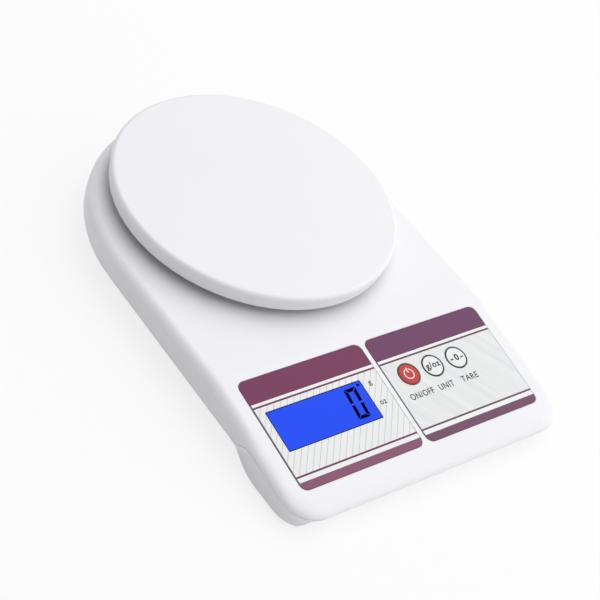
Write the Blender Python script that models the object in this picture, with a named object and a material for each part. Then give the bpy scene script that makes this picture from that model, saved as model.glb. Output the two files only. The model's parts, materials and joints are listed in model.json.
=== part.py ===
"""Compact electronic weighing scale with a round platform and a sloped display panel.

Metres, +Z up.  The origin lies on the table, midway along and across the case.
The display end faces -Y.  Each named object is one piece of the scale.
"""
import math

import bmesh
import bpy
from mathutils import Matrix, Vector

# Clearances and walls
GAP = 0.0003
KEY_TRAVEL = 0.00025
WALL = 0.0022
FLOOR = 0.0020

# Case in plan
BODY_LENGTH = 0.230
BODY_WIDTH = 0.164
CORNER_RADIUS = 0.016

# Case in side view
FOOT_HEIGHT = 0.0020
HEADROOM = 0.0007
PANEL_LENGTH = 0.071
PANEL_TILT = math.radians(9.0)
BEND_BLEND = 0.006
EDGE_DROP = 0.0050
EDGE_REACH_SIDE = 0.0050
EDGE_REACH_FRONT = 0.0090
RIM_SIDE = 0.0102
RIM_CLIMB = 0.0020
RIM_DROP = 0.0032
ARCH_FROM_FRONT = 0.039
KINK_FROM_FRONT = 0.049
WALL_STEP = 0.0003
SEAM_CHAMFER = 0.0006

# Lower case flare, measured in from the outline at the base
BASE_INSET_SIDE = 0.0088
BASE_INSET_FRONT = 0.0045
BASE_INSET_CORNER = 0.0006
FLARE_START = 0.030
FLARE_END = 0.066

# Weighing platform and its carrier
PLATFORM_DIAMETER = 0.140
PLATFORM_SETBACK = 0.073
PLATFORM_DEPTH = 0.0078
PLATFORM_LIFT = 0.0045
PLATFORM_WALL = 0.0022
PLATFORM_EDGE = 0.0020
PLATFORM_DRAFT = 0.0010
RIB_RADIUS = 0.034
RIB_WIDTH = 0.0016
RIB_DEPTH = 0.0018
PEG_CIRCLE = 0.047
PEG_RADIUS = 0.0025
CARRIER_THICKNESS = 0.0035
CARRIER_LIFT = 0.0023
ARM_WIDTH = 0.014
HUB_RADIUS = 0.009
HUB_OFFSET = 0.027
HUB_OPENING_MARGIN = 0.003

# Load cell
CELL_REACH = 0.0375
CELL_BEHIND_TUB = 0.0099
CELL_SIZE = 0.0127
CELL_HOLE_RADIUS = 0.0044
CELL_HOLE_PITCH = 0.016
CELL_SLOT = 0.0030
PEDESTAL_HEIGHT = 0.0009
SPACER_THICKNESS = 0.0010
SPACER_SHARE = 0.24
PEDESTAL_SIDE = 0.004
PEDESTAL_END = 0.003
GAUGE_COVER = 0.0014

# Labels on the panel
LABEL_THICKNESS = 0.0005
LABEL_MARGIN = 0.0031
LABEL_WIDTH = 0.0701
LABEL_HEIGHT = 0.0559
LABEL_SPACING = 0.0030
LABEL_RADIUS = 0.0035

# Display stack
WINDOW_WIDTH = 0.0543
WINDOW_HEIGHT = 0.0206
WINDOW_FROM_OUTER = 0.0048
WINDOW_FROM_TOP = 0.0168
WINDOW_RADIUS = 0.0006
LENS_FLANGE = 0.0026
LENS_FLANGE_THICKNESS = 0.0005
OPENING_MARGIN = 0.0006
GLASS_MARGIN = 0.0020
GLASS_THICKNESS = 0.0020
STRIP_WIDTH = 0.0020
BACKLIGHT_THICKNESS = 0.0020
FRAME_WALL = 0.0012

# Keys
KEY_RADIUS = 0.0057
KEY_CROWN = 0.0003
KEY_FIRST = 0.01395
KEY_PITCH = 0.01497
KEY_FROM_TOP = 0.0221
PLUNGER_RADIUS = 0.0020
STEM_RADIUS = 0.0016
SWITCH_SIZE = 0.0060
SWITCH_HEIGHT = 0.0029

# Circuit board
BOARD_THICKNESS = 0.0012
BOARD_MARGIN = 0.0050
BOARD_RIGHT = 0.010
POST_RADIUS = 0.0022
CHIP_RADIUS = 0.0055
CHIP_HEIGHT = 0.0013

# Batteries, AA
BATTERY_DIAMETER = 0.0142
BATTERY_LENGTH = 0.0505
NUB_LENGTH = 0.0013
NUB_RADIUS = 0.0026
BATTERY_PITCH = 0.0152
BATTERY_BEHIND_BEND = 0.022
CONTACT_THICKNESS = 0.0005
SPRING_LENGTH = 0.0062
SPRING_WIRE = 0.0007
SPRING_TURNS = 4
SPRING_BASE_RADIUS = 0.0042
SPRING_TIP_RADIUS = 0.0030
TUB_WALL = 0.0016
TUB_ROOF = 0.0012
DOOR_THICKNESS = 0.0018
DOOR_GAP = 0.0004
HINGE_TAB = 0.006
HINGE_SPREAD = 0.016
HINGE_PIN_RADIUS = 0.00045
HINGE_BACK = 0.0009

# Feet and case screw posts
FOOT_RADIUS = 0.006
FOOT_SEAT = 0.0005
FOOT_SIDE_INSET = 0.016
FOOT_FRONT_INSET = 0.029
FOOT_REAR_RADIUS = 0.063
FOOT_REAR_ANGLE = math.radians(43.0)
SCREW_POST_RADIUS = 0.0032
SCREW_WELL_RADIUS = 0.0018

# Leads
LEAD_DIAMETER = 0.0012
LEAD_HOLE_LIFT = 0.003
LEAD_EXIT = 0.003
LEAD_TURN = 0.007
LEAD_SLIP = 0.006
LEAD_DIP = 0.002
LEAD_LANDING = 0.004
LEAD_RISE = 0.0015
CABLE_DIAMETER = 0.0024
CABLE_SWING = 0.006
CABLE_PASS = 0.0055
CABLE_RISE = 0.001
CABLE_STAND_OFF = 0.004

# Facet counts
CORNER_STEPS = 8
SIDE_STEPS = 26
REAR_STEPS = 16
EDGE_STEPS = 5
TURN_STEPS = 64

# Places worked out from the sizes above
FRONT_Y = -BODY_LENGTH / 2
HALF_WIDTH = BODY_WIDTH / 2
REAR_CENTRE_Y = BODY_LENGTH / 2 - HALF_WIDTH
BEND_Y = FRONT_Y + PANEL_LENGTH
BASE_Z = FOOT_HEIGHT
FLOOR_TOP = BASE_Z + FLOOR
CELL_BOTTOM = FLOOR_TOP + PEDESTAL_HEIGHT + SPACER_THICKNESS + 2 * GAP
CELL_TOP = CELL_BOTTOM + CELL_SIZE
BATTERY_Z = BASE_Z + DOOR_THICKNESS + GAP + BATTERY_DIAMETER / 2
TUB_CEILING = BATTERY_Z + BATTERY_DIAMETER / 2 + GAP
CASE_TOP = max(CELL_TOP, TUB_CEILING + TUB_ROOF) + HEADROOM + WALL
PLATFORM_Y = BODY_LENGTH / 2 - PLATFORM_SETBACK
PLATFORM_BOTTOM = CASE_TOP + PLATFORM_LIFT
PLATFORM_TOP = PLATFORM_BOTTOM + PLATFORM_DEPTH
CARRIER_BOTTOM = CASE_TOP + CARRIER_LIFT
CARRIER_TOP = CARRIER_BOTTOM + CARRIER_THICKNESS
HUB_Y = PLATFORM_Y + HUB_OFFSET
BATTERY_Y = BEND_Y + BATTERY_BEHIND_BEND
CAVITY_LENGTH = BATTERY_LENGTH + SPRING_LENGTH + 2 * CONTACT_THICKNESS + 5 * GAP
CAVITY_DEPTH = BATTERY_PITCH + BATTERY_DIAMETER + 2 * GAP
CELL_FRONT = BATTERY_Y + CAVITY_DEPTH / 2 + TUB_WALL + CELL_BEHIND_TUB
CELL_LENGTH = PLATFORM_Y + CELL_REACH - CELL_FRONT
CELL_Y = CELL_FRONT + CELL_LENGTH / 2
SPACER_LENGTH = SPACER_SHARE * CELL_LENGTH

# Depths below the panel face, along its normal
RECESS_DEPTH = LABEL_THICKNESS + GAP
LENS_SEAT = RECESS_DEPTH + LENS_FLANGE_THICKNESS + GAP
GLASS_DEPTH = WALL + GAP
BACKLIGHT_DEPTH = GLASS_DEPTH + GLASS_THICKNESS + GAP
BOARD_DEPTH = BACKLIGHT_DEPTH + BACKLIGHT_THICKNESS + GAP

# Places on the panel: across, and down the slope from the bend line
LABEL_CENTRE_X = LABEL_SPACING / 2 + LABEL_WIDTH / 2
LABEL_CENTRE_DOWN = LABEL_MARGIN + LABEL_HEIGHT / 2
WINDOW_X = -LABEL_SPACING / 2 - LABEL_WIDTH + WINDOW_FROM_OUTER + WINDOW_WIDTH / 2
WINDOW_DOWN = LABEL_MARGIN + WINDOW_FROM_TOP + WINDOW_HEIGHT / 2
GLASS_WIDTH = WINDOW_WIDTH + 2 * GLASS_MARGIN
GLASS_HEIGHT = WINDOW_HEIGHT + 2 * (GLASS_MARGIN + STRIP_WIDTH)
KEY_DOWN = LABEL_MARGIN + KEY_FROM_TOP
KEY_X = [KEY_FIRST + i * KEY_PITCH for i in range(3)]
KEY_NAMES = ["power", "unit", "tare"]

for old in list(bpy.data.objects):
    bpy.data.objects.remove(old, do_unlink=True)


# Materials
def finish(name, colour, roughness, metallic=0.0):
    """A plain surface finish with its colour, roughness and metal value."""
    material = bpy.data.materials.new(name)
    material.use_nodes = True
    shader = material.node_tree.nodes["Principled BSDF"]
    shader.inputs["Base Color"].default_value = (*colour, 1.0)
    shader.inputs["Roughness"].default_value = roughness
    shader.inputs["Metallic"].default_value = metallic
    return material


WHITE_ABS = finish("white_abs", (0.87, 0.87, 0.89), 0.42)
LABEL_FILM = finish("label_film", (0.80, 0.82, 0.81), 0.30)
KEY_FILM = finish("key_film", (0.78, 0.80, 0.80), 0.32)
RED_FILM = finish("red_film", (0.68, 0.06, 0.05), 0.32)
CLEAR_LENS = finish("clear_lens", (0.90, 0.92, 0.95), 0.05)
BLUE_GLASS = finish("blue_glass", (0.04, 0.10, 0.90), 0.10)
ALUMINIUM = finish("aluminium", (0.70, 0.71, 0.73), 0.38, 1.0)
NICKEL = finish("nickel", (0.72, 0.71, 0.68), 0.30, 1.0)
GREEN_BOARD = finish("green_board", (0.03, 0.22, 0.08), 0.45)
BLACK_PLASTIC = finish("black_plastic", (0.03, 0.03, 0.03), 0.50)
WHITE_PLASTIC = finish("white_plastic", (0.82, 0.82, 0.80), 0.50)
GREY_RUBBER = finish("grey_rubber", (0.35, 0.35, 0.36), 0.85)
WHITE_SILICONE = finish("white_silicone", (0.84, 0.84, 0.82), 0.60)
CELL_WRAP = finish("cell_wrap", (0.10, 0.12, 0.14), 0.35)
RED_LEAD = finish("red_lead", (0.60, 0.04, 0.03), 0.45)
BLACK_LEAD = finish("black_lead", (0.02, 0.02, 0.02), 0.45)
GREY_CABLE = finish("grey_cable", (0.45, 0.45, 0.46), 0.50)


# Small modelling helpers
def clamp01(value):
    return min(1.0, max(0.0, value))


def smooth(value):
    """Ease from 0 to 1 with level ends."""
    t = clamp01(value)
    return t * t * (3.0 - 2.0 * t)


def add_object(name, bm, material, parent=None, place=(0.0, 0.0, 0.0)):
    """Turn a closed bmesh into a named object with smooth round faces."""
    bmesh.ops.recalc_face_normals(bm, faces=bm.faces)
    mesh = bpy.data.meshes.new(name)
    bm.to_mesh(mesh)
    bm.free()
    mesh.shade_smooth()
    mesh.set_sharp_from_angle(angle=math.radians(32.0))
    mesh.materials.append(material)
    obj = bpy.data.objects.new(name, mesh)
    bpy.context.scene.collection.objects.link(obj)
    obj.parent = parent
    obj.location = place
    return obj


def boolean(target, operation, name, bm, parent=None, place=(0.0, 0.0, 0.0)):
    """Cut a shape from a piece, or fuse it on, keeping the tool as a hidden guide."""
    tool = add_object(name, bm, WHITE_PLASTIC, parent, place)
    tool.hide_render = True
    tool.display_type = "WIRE"
    step = target.modifiers.new(name, "BOOLEAN")
    step.operation = operation
    step.solver = "EXACT"
    step.object = tool
    return tool


def prism(points, low, high):
    """Extrude a flat outline between two heights."""
    bm = bmesh.new()
    verts = [bm.verts.new((x, y, low)) for x, y in points]
    face = bm.faces.new(verts)
    grown = bmesh.ops.extrude_face_region(bm, geom=[face])
    raised = [item for item in grown["geom"] if isinstance(item, bmesh.types.BMVert)]
    bmesh.ops.translate(bm, verts=raised, vec=(0.0, 0.0, high - low))
    return bm


def rounded_rectangle(width, height, radius, steps=5, centre=(0.0, 0.0)):
    """Outline of a rectangle with round corners, counter-clockwise."""
    points = []
    for turn, (sx, sy) in enumerate([(1, 1), (-1, 1), (-1, -1), (1, -1)]):
        cx = centre[0] + sx * (width / 2 - radius)
        cy = centre[1] + sy * (height / 2 - radius)
        for i in range(steps + 1):
            angle = math.radians(90.0) * (turn + i / steps)
            points.append((cx + radius * math.cos(angle), cy + radius * math.sin(angle)))
    return points


def circle(radius, steps=24, centre=(0.0, 0.0)):
    """Points round a circle."""
    turns = [2.0 * math.pi * i / steps for i in range(steps)]
    return [(centre[0] + radius * math.cos(a), centre[1] + radius * math.sin(a)) for a in turns]


def ring_prism(outer, inner, low, high):
    """Extrude the band between two outlines that have as many points each."""
    bm = bmesh.new()
    loops = []
    for points, height in [(outer, low), (outer, high), (inner, high), (inner, low)]:
        loops.append([bm.verts.new((x, y, height)) for x, y in points])
    count = len(outer)
    for a, b in zip(loops, loops[1:] + loops[:1]):
        for i in range(count):
            j = (i + 1) % count
            bm.faces.new((a[i], a[j], b[j], b[i]))
    return bm


def block(size, centre):
    """A box of a size about a centre."""
    bm = bmesh.new()
    place = Matrix.Translation(centre) @ Matrix.Diagonal((*size, 1.0))
    bmesh.ops.create_cube(bm, size=1.0, matrix=place)
    return bm


def bar(radius, start, end, steps=20):
    """A round bar between two points."""
    start = Vector(start)
    span = Vector(end) - start
    bm = bmesh.new()
    turn = Vector((0.0, 0.0, 1.0)).rotation_difference(span.normalized()).to_matrix().to_4x4()
    place = Matrix.Translation(start + span / 2) @ turn
    bmesh.ops.create_cone(bm, cap_ends=True, segments=steps, radius1=radius, radius2=radius,
                          depth=span.length, matrix=place)
    return bm


def turned(profile, steps):
    """Spin a profile of (radius, height) points about the Z axis into a closed solid."""
    bm = bmesh.new()
    rings = []
    for radius, height in profile:
        if radius < 1e-9:
            rings.append([bm.verts.new((0.0, 0.0, height))])
        else:
            rings.append([bm.verts.new((x, y, height)) for x, y in circle(radius, steps)])
    for a, b in zip(rings, rings[1:]):
        for i in range(steps):
            j = (i + 1) % steps
            if len(a) == 1:
                bm.faces.new((a[0], b[i], b[j]))
            elif len(b) == 1:
                bm.faces.new((a[i], b[0], a[j]))
            else:
                bm.faces.new((a[i], b[i], b[j], a[j]))
    return bm


def smooth_route(stops, spacing):
    """Evenly spaced points on a smooth curve through the stops of a lead."""
    stops = [Vector(stop) for stop in stops]
    padded = [2 * stops[0] - stops[1]] + stops + [2 * stops[-1] - stops[-2]]
    fine = []
    for p0, p1, p2, p3 in zip(padded, padded[1:], padded[2:], padded[3:]):
        for i in range(20):
            t = i / 20
            fine.append(0.5 * (2 * p1 + (p2 - p0) * t + (2 * p0 - 5 * p1 + 4 * p2 - p3) * t ** 2
                               + (3 * p1 - p0 - 3 * p2 + p3) * t ** 3))
    fine.append(stops[-1])
    travelled = [0.0]
    for a, b in zip(fine, fine[1:]):
        travelled.append(travelled[-1] + (b - a).length)
    count = max(4, round(travelled[-1] / spacing))
    points = []
    for i in range(count + 1):
        goal = travelled[-1] * i / count
        k = next(n for n in range(1, len(fine)) if travelled[n] >= goal - 1e-12)
        share = (goal - travelled[k - 1]) / (travelled[k] - travelled[k - 1])
        points.append(fine[k - 1].lerp(fine[k], share))
    return points


def tube(name, points, diameter, material, resolution):
    """A round wire or lead along a run of points, with closed ends."""
    curve = bpy.data.curves.new(name, "CURVE")
    curve.dimensions = "3D"
    curve.bevel_depth = diameter / 2
    curve.bevel_resolution = resolution
    curve.use_fill_caps = True
    spline = curve.splines.new("POLY")
    spline.points.add(len(points) - 1)
    for slot, point in zip(spline.points, points):
        slot.co = (*point, 1.0)
    curve.materials.append(material)
    obj = bpy.data.objects.new(name, curve)
    bpy.context.scene.collection.objects.link(obj)
    return obj


def frame_empty(name, place, turn=0.0):
    """An empty that stands for a local frame, turned about X."""
    empty = bpy.data.objects.new(name, None)
    empty.location = place
    empty.rotation_euler = (turn, 0.0, 0.0)
    bpy.context.scene.collection.objects.link(empty)
    return empty


# The panel frame: X across, Y up the slope, Z out of the panel face
panel = frame_empty("panel_frame", (0.0, BEND_Y, CASE_TOP), PANEL_TILT)


def panel_point(across, down, depth):
    """World place of a point on the panel, down its slope and below its face."""
    slope = Vector((0.0, math.cos(PANEL_TILT), math.sin(PANEL_TILT)))
    normal = Vector((0.0, -math.sin(PANEL_TILT), math.cos(PANEL_TILT)))
    return Vector((across, BEND_Y, CASE_TOP)) - slope * down - normal * depth


# Case outline and heights
def half_outline():
    """Right half of the plan outline, from the front corner to the rear, with outward normals."""
    run = []
    corner = (HALF_WIDTH - CORNER_RADIUS, FRONT_Y + CORNER_RADIUS)
    for i in range(CORNER_STEPS + 1):
        angle = math.radians(90.0) * (i / CORNER_STEPS - 1.0)
        nx, ny = math.cos(angle), math.sin(angle)
        run.append((corner[0] + CORNER_RADIUS * nx, corner[1] + CORNER_RADIUS * ny, nx, ny))
    for i in range(1, SIDE_STEPS):
        run.append((HALF_WIDTH, corner[1] + (REAR_CENTRE_Y - corner[1]) * i / SIDE_STEPS, 1.0, 0.0))
    for i in range(REAR_STEPS + 1):
        angle = math.radians(90.0) * i / REAR_STEPS
        nx, ny = math.cos(angle), math.sin(angle)
        if i == REAR_STEPS:
            nx, ny = 0.0, 1.0
        run.append((HALF_WIDTH * nx, REAR_CENTRE_Y + HALF_WIDTH * ny, nx, ny))
    return run


OUTLINE = half_outline()


def top_height(y):
    """Height of the case's top face: level behind, sloped in front, with a soft bend."""
    ahead = BEND_Y - y
    slope = math.tan(PANEL_TILT)
    if ahead <= -BEND_BLEND:
        return CASE_TOP
    if ahead >= BEND_BLEND:
        return CASE_TOP - slope * ahead
    return CASE_TOP - slope * (ahead + BEND_BLEND) ** 2 / (4.0 * BEND_BLEND)


def rim_height(y):
    """Lower edge of the upper case: a level skirt that lifts near the front to follow the panel."""
    kink = FRONT_Y + KINK_FROM_FRONT
    arch = FRONT_Y + ARCH_FROM_FRONT
    skirt = RIM_SIDE + RIM_CLIMB * clamp01((y - kink) / (REAR_CENTRE_Y - kink))
    share = smooth((y - arch) / (kink - arch))
    return skirt * share + (top_height(y) - RIM_DROP) * (1.0 - share)


def edge_reach(ny):
    """How far in from the outline the rounded top edge starts."""
    return EDGE_REACH_SIDE + (EDGE_REACH_FRONT - EDGE_REACH_SIDE) * smooth(-ny)


def base_inset(y, ny):
    """How far in the lower case has drawn at its base: flush at the front corners, tucked elsewhere."""
    if ny < 0.0:
        return BASE_INSET_CORNER + (BASE_INSET_FRONT - BASE_INSET_CORNER) * smooth((-ny - 0.7) / 0.3)
    share = smooth((y - FRONT_Y - FLARE_START) / (FLARE_END - FLARE_START))
    return BASE_INSET_CORNER + (BASE_INSET_SIDE - BASE_INSET_CORNER) * share


def full_ring(point_at):
    """Run a half outline's points all the way round, mirrored about the middle plane."""
    right = [Vector(point_at(*spot)) for spot in OUTLINE]
    left = [Vector((-p.x, p.y, p.z)) for p in reversed(right[:-1])]
    return right + left


def loft(rings):
    """Skin a run of rings and close both ends with strips from side to side."""
    bm = bmesh.new()
    loops = [[bm.verts.new(p) for p in ring] for ring in rings]
    count = len(loops[0])
    half = len(OUTLINE)
    for a, b in zip(loops, loops[1:]):
        for i in range(count):
            j = (i + 1) % count
            bm.faces.new((a[i], a[j], b[j], b[i]))
    for ring in (loops[0], loops[-1]):
        for i in range(half - 2):
            bm.faces.new((ring[i], ring[i + 1], ring[count - 2 - i], ring[count - 1 - i]))
        bm.faces.new((ring[half - 2], ring[half - 1], ring[half]))
    return bm


def upper_ring(angle, inward):
    """One ring of the upper case: the angle runs from its wall, 0, to its top face, 90 degrees."""
    def point(x, y, nx, ny):
        reach = edge_reach(ny)
        drop = min(EDGE_DROP, top_height(y) - rim_height(y) - WALL_STEP)
        inset = reach * (1.0 - math.cos(angle)) + inward * math.cos(angle)
        px, py = x - inset * nx, y - inset * ny
        height = top_height(py) - drop * (1.0 - math.sin(angle)) - inward * math.sin(angle)
        return (px, py, height)
    return full_ring(point)


def rim_ring(inward):
    """The flat lower edge of the upper case, outside or inside."""
    return full_ring(lambda x, y, nx, ny: (x - inward * nx, y - inward * ny, rim_height(y)))


# Upper case, a moulded lid with a skirt
def build_upper_case():
    angles = [math.radians(90.0) * i / EDGE_STEPS for i in range(EDGE_STEPS + 1)]
    rings = [upper_ring(a, 0.0) for a in reversed(angles)]
    rings += [rim_ring(0.0), rim_ring(WALL)]
    rings += [upper_ring(a, WALL) for a in angles]
    return add_object("upper_case", loft(rings), WHITE_ABS)


upper_case = build_upper_case()

# Seats for the two labels and the lens, and the display opening, all cut square to the panel
for side, word in [(-1, "left"), (1, "right")]:
    seat = rounded_rectangle(LABEL_WIDTH + 2 * GAP, LABEL_HEIGHT + 2 * GAP, LABEL_RADIUS + GAP)
    boolean(upper_case, "DIFFERENCE", "label_seat_" + word, prism(seat, -RECESS_DEPTH, WALL),
            panel, (side * LABEL_CENTRE_X, -LABEL_CENTRE_DOWN, 0.0))
lens_seat = rounded_rectangle(WINDOW_WIDTH + 2 * LENS_FLANGE, WINDOW_HEIGHT + 2 * LENS_FLANGE, 0.001)
boolean(upper_case, "DIFFERENCE", "lens_seat", prism(lens_seat, -LENS_SEAT, WALL),
        panel, (WINDOW_X, -WINDOW_DOWN, 0.0))
opening = rounded_rectangle(WINDOW_WIDTH + 2 * OPENING_MARGIN, WINDOW_HEIGHT + 2 * OPENING_MARGIN, 0.001)
boolean(upper_case, "DIFFERENCE", "display_opening", prism(opening, -2 * WALL, WALL),
        panel, (WINDOW_X, -WINDOW_DOWN, 0.0))
for name, x in zip(KEY_NAMES, KEY_X):
    boolean(upper_case, "DIFFERENCE", name + "_key_hole",
            prism(circle(PLUNGER_RADIUS + GAP, 16), -2 * WALL, WALL), panel, (x, -KEY_DOWN, 0.0))

# Opening under the platform for the carrier's hub
boolean(upper_case, "DIFFERENCE", "hub_opening",
        prism(circle(HUB_RADIUS + HUB_OPENING_MARGIN, 32, (0.0, HUB_Y)), CASE_TOP - 2 * WALL, CASE_TOP + WALL))

# Posts that carry the circuit board, moulded under the panel
BOARD_LEFT = WINDOW_X - GLASS_WIDTH / 2 - FRAME_WALL
BOARD_RIGHT_EDGE = KEY_X[2] + BOARD_RIGHT
BOARD_TOP_DOWN = WINDOW_DOWN - GLASS_HEIGHT / 2 - FRAME_WALL - GAP - BOARD_MARGIN
BOARD_LOW_DOWN = WINDOW_DOWN + GLASS_HEIGHT / 2 + FRAME_WALL + GAP + BOARD_MARGIN
for i, across in enumerate([BOARD_LEFT + BOARD_MARGIN, BOARD_RIGHT_EDGE - BOARD_MARGIN]):
    for j, down in enumerate([BOARD_TOP_DOWN + BOARD_MARGIN / 2, BOARD_LOW_DOWN - BOARD_MARGIN / 2]):
        boolean(upper_case, "UNION", "board_post_%d%d" % (i, j),
                prism(circle(POST_RADIUS, 14), -BOARD_DEPTH + GAP, -WALL * 0.6), panel, (across, -down, 0.0))

# Screw posts of the two case halves meet at mid height
SCREW_SPOTS = [(HALF_WIDTH - 0.020, BATTERY_Y + 0.004), (HALF_WIDTH - 0.024, PLATFORM_Y + 0.004),
               (HALF_WIDTH - 0.024, FRONT_Y + 0.0105)]
SCREW_PLACES = [(sx * x, y) for x, y in SCREW_SPOTS for sx in (-1, 1)]


def post_split(y):
    """Height where an upper and a lower screw post meet."""
    return (FLOOR_TOP + top_height(y) - WALL) / 2


for i, (x, y) in enumerate(SCREW_PLACES):
    boolean(upper_case, "UNION", "upper_post_%d" % i,
            prism(circle(SCREW_POST_RADIUS, 16, (x, y)), post_split(y) + GAP / 2, top_height(y) - WALL * 0.6))


# Lower case, a tray tucked under the skirt that flares out to stand at the front corners
def lower_ring(height_at, inset_at):
    def point(x, y, nx, ny):
        inset = inset_at(y, ny)
        return (x - inset * nx, y - inset * ny, height_at(y))
    return full_ring(point)


def build_lower_case():
    def top(y):
        return rim_height(y) - GAP

    def shoulder(y):
        return top(y) - SEAM_CHAMFER

    def flank(y, ny):
        return WALL_STEP

    def under(y, ny):
        return WALL_STEP + SEAM_CHAMFER

    def thick(y, ny):
        return WALL_STEP + WALL

    def inner(y, ny):
        return base_inset(y, ny) + WALL

    rings = [lower_ring(lambda y: BASE_Z, base_inset),
             lower_ring(shoulder, flank),
             lower_ring(top, under),
             lower_ring(top, thick),
             lower_ring(lambda y: FLOOR_TOP, inner)]
    return add_object("lower_case", loft(rings), WHITE_ABS)


lower_case = build_lower_case()

# Pedestal under the fixed end of the load cell
pedestal_size = (CELL_SIZE + 2 * PEDESTAL_SIDE, SPACER_LENGTH + 2 * PEDESTAL_END, PEDESTAL_HEIGHT + FLOOR / 2)
pedestal_centre = (0.0, CELL_FRONT + SPACER_LENGTH / 2, FLOOR_TOP + PEDESTAL_HEIGHT - pedestal_size[2] / 2)
boolean(lower_case, "UNION", "pedestal", block(pedestal_size, pedestal_centre))

# Battery tub: walls and a roof, open below
tub_top = TUB_CEILING + TUB_ROOF
tub = prism(rounded_rectangle(CAVITY_LENGTH + 2 * TUB_WALL, CAVITY_DEPTH + 2 * TUB_WALL, 0.002, 3,
                              (0.0, BATTERY_Y)), BASE_Z + FLOOR / 2, tub_top)
boolean(lower_case, "UNION", "battery_tub", tub)
cavity = block((CAVITY_LENGTH, CAVITY_DEPTH, TUB_CEILING), (0.0, BATTERY_Y, TUB_CEILING / 2))
boolean(lower_case, "DIFFERENCE", "battery_cavity", cavity)

# Notches and pin pockets for the door's two hinge tabs, and a finger scoop at its front edge
DOOR_REAR = BATTERY_Y + CAVITY_DEPTH / 2
DOOR_FRONT = BATTERY_Y - CAVITY_DEPTH / 2
HINGE_Y = DOOR_REAR + HINGE_BACK
HINGE_Z = BASE_Z + FLOOR / 2
PIN_REACH = 0.001
for side in (-1, 1):
    notch_height = FLOOR_TOP + 0.0005
    notch = block((HINGE_TAB + 2 * DOOR_GAP, 2 * HINGE_BACK + 0.001, notch_height),
                  (side * HINGE_SPREAD, HINGE_Y - 0.0002, notch_height / 2))
    boolean(lower_case, "DIFFERENCE", "hinge_notch_%d" % side, notch)
    reach = HINGE_TAB / 2 + PIN_REACH + DOOR_GAP
    pocket = bar(HINGE_PIN_RADIUS + GAP, (side * HINGE_SPREAD - reach, HINGE_Y, HINGE_Z),
                 (side * HINGE_SPREAD + reach, HINGE_Y, HINGE_Z), 12)
    boolean(lower_case, "DIFFERENCE", "hinge_pocket_%d" % side, pocket)
SCOOP_RADIUS = 0.006
SCOOP_DEPTH = 0.0012
scoop = prism(circle(SCOOP_RADIUS, 20, (0.0, DOOR_FRONT)), BASE_Z - FLOOR, BASE_Z + SCOOP_DEPTH)
boolean(lower_case, "DIFFERENCE", "finger_scoop", scoop)

# Holes in the tub's end for the two battery leads
ROWS = [BATTERY_Y - BATTERY_PITCH / 2, BATTERY_Y + BATTERY_PITCH / 2]
LEAD_HOLE_Z = BATTERY_Z + LEAD_HOLE_LIFT
for i, y in enumerate(ROWS):
    boolean(lower_case, "DIFFERENCE", "lead_hole_%d" % i,
            bar(LEAD_DIAMETER / 2 + 2 * GAP, (CAVITY_LENGTH / 2 - 0.001, y, LEAD_HOLE_Z),
                (CAVITY_LENGTH / 2 + 2 * TUB_WALL, y, LEAD_HOLE_Z), 12))

# Lower screw posts with their wells
for i, (x, y) in enumerate(SCREW_PLACES):
    boolean(lower_case, "UNION", "lower_post_%d" % i,
            prism(circle(SCREW_POST_RADIUS, 16, (x, y)), BASE_Z + FLOOR / 2, post_split(y) - GAP / 2))
    boolean(lower_case, "DIFFERENCE", "screw_well_%d" % i,
            prism(circle(SCREW_WELL_RADIUS, 12, (x, y)), BASE_Z - FLOOR, post_split(y) - FLOOR / 2))

# Rubber feet in shallow seats
foot_x = HALF_WIDTH - FOOT_SIDE_INSET
rear_x = FOOT_REAR_RADIUS * math.cos(FOOT_REAR_ANGLE)
rear_y = REAR_CENTRE_Y + FOOT_REAR_RADIUS * math.sin(FOOT_REAR_ANGLE)
FEET = {"foot_front_left": (-foot_x, FRONT_Y + FOOT_FRONT_INSET),
        "foot_front_right": (foot_x, FRONT_Y + FOOT_FRONT_INSET),
        "foot_rear_left": (-rear_x, rear_y),
        "foot_rear_right": (rear_x, rear_y)}
for name, (x, y) in FEET.items():
    seat = prism(circle(FOOT_RADIUS + GAP, 24, (x, y)), BASE_Z - FLOOR, BASE_Z + FOOT_SEAT + GAP)
    boolean(lower_case, "DIFFERENCE", name + "_seat", seat)
    rim = FOOT_HEIGHT / 4
    profile = [(0.0, FOOT_HEIGHT + FOOT_SEAT), (FOOT_RADIUS, FOOT_HEIGHT + FOOT_SEAT), (FOOT_RADIUS, rim),
               (FOOT_RADIUS - rim, 0.0), (0.0, 0.0)]
    add_object(name, turned(profile, 24), GREY_RUBBER, None, (x, y, 0.0))


# Weighing platform, a shallow upturned dish with a rounded edge, a ring rib and four pegs
def platform_profile():
    radius = PLATFORM_DIAMETER / 2
    profile = [(0.0, PLATFORM_TOP)]
    for i in range(EDGE_STEPS + 1):
        angle = math.radians(90.0) * (1.0 - i / EDGE_STEPS)
        profile.append((radius - PLATFORM_EDGE * (1.0 - math.cos(angle)),
                        PLATFORM_TOP - PLATFORM_EDGE * (1.0 - math.sin(angle))))
    under = PLATFORM_TOP - PLATFORM_WALL
    inner = radius - PLATFORM_WALL
    profile += [(radius - PLATFORM_DRAFT, PLATFORM_BOTTOM),
                (inner - PLATFORM_DRAFT, PLATFORM_BOTTOM),
                (inner - PLATFORM_DRAFT / 2, under - PLATFORM_EDGE / 2),
                (inner - PLATFORM_DRAFT / 2 - PLATFORM_EDGE / 2, under),
                (RIB_RADIUS + RIB_WIDTH / 2, under),
                (RIB_RADIUS + RIB_WIDTH / 2, under - RIB_DEPTH),
                (RIB_RADIUS - RIB_WIDTH / 2, under - RIB_DEPTH),
                (RIB_RADIUS - RIB_WIDTH / 2, under),
                (0.0, under)]
    return [(r, z - PLATFORM_TOP) for r, z in profile]


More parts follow.
